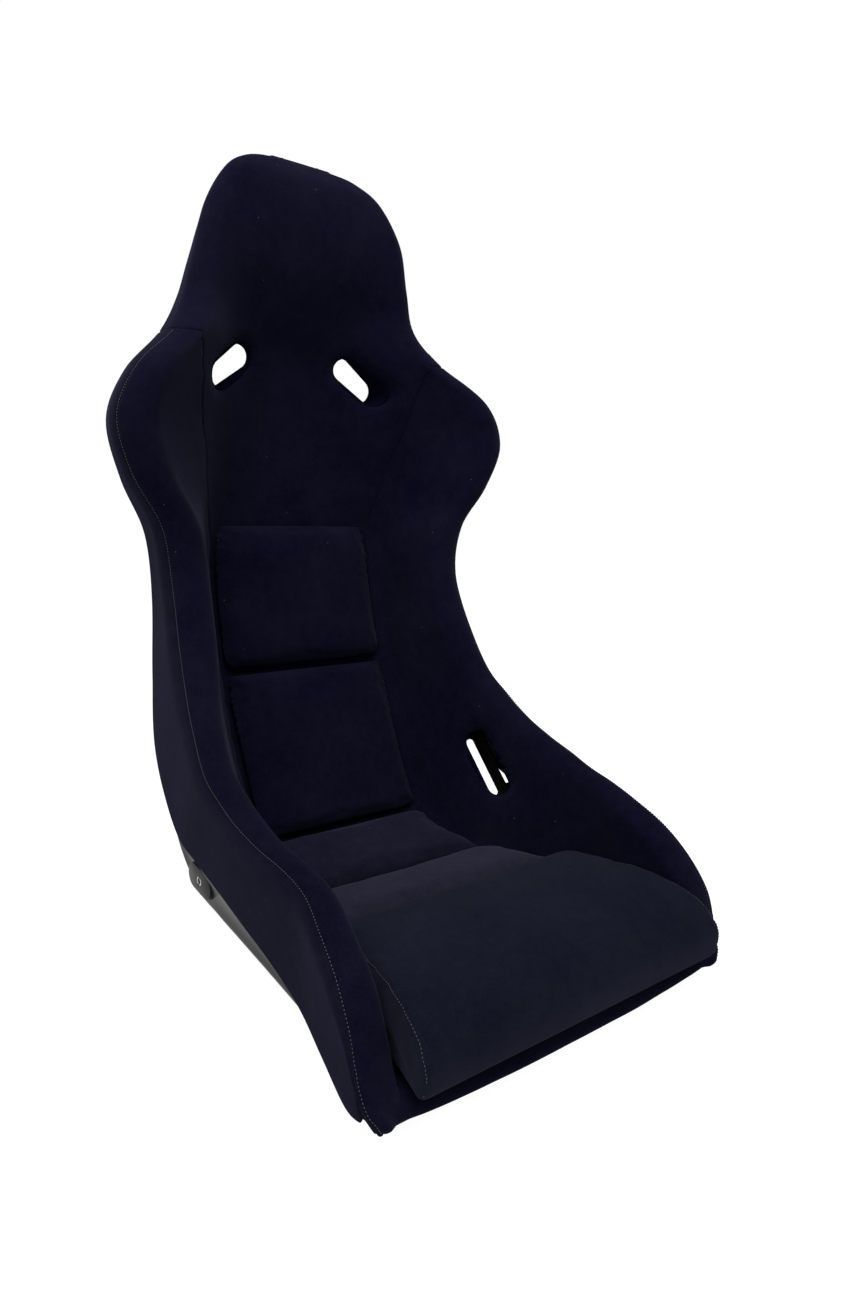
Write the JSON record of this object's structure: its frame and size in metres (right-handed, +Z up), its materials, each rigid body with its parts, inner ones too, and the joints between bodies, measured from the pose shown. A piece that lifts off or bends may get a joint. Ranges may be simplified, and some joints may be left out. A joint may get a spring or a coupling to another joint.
{
  "type": "racing seat",
  "caption": "fixed-back bucket racing seat with a glossy black shell, black velour bolsters and cushions, shoulder-belt and lap-belt slots and threaded side mounts",
  "frame": {"origin": "on the floor, midway between the four side-mount holes", "axes": "+X to the right as seen from the front; the front of the seat faces -Y; +Z up"},
  "size_m": [0.5638, 0.687, 0.888],
  "materials": {
    "fabric": "satin",
    "fabric_light": "satin",
    "shell": "gloss",
    "strip": "matte",
    "steel": "satin"
  },
  "bodies": {
    "root": {"shell": "shell", "centre_cover": "fabric", "pan_liner": "fabric", "front_lip": "fabric", "bolster_left": "fabric", "bolster_right": "fabric", "harness_sleeve_left": "fabric", "harness_sleeve_right": "fabric", "lap_sleeve_left": "fabric", "lap_sleeve_right": "fabric", "upper_back_cushion": "fabric", "lower_back_cushion": "fabric", "rear_seat_pad": "fabric", "thigh_cushion": "fabric", "side_cover_left": "fabric_light", "side_cover_right": "fabric_light", "middle_seat_pad": "fabric_light", "upper_back_strips": "strip", "lower_back_strips": "strip", "rear_pad_strips": "strip", "middle_pad_strips": "strip", "thigh_strips": "strip", "mount_inserts_left": "steel", "mount_inserts_right": "steel"}
  },
  "joints": []
}
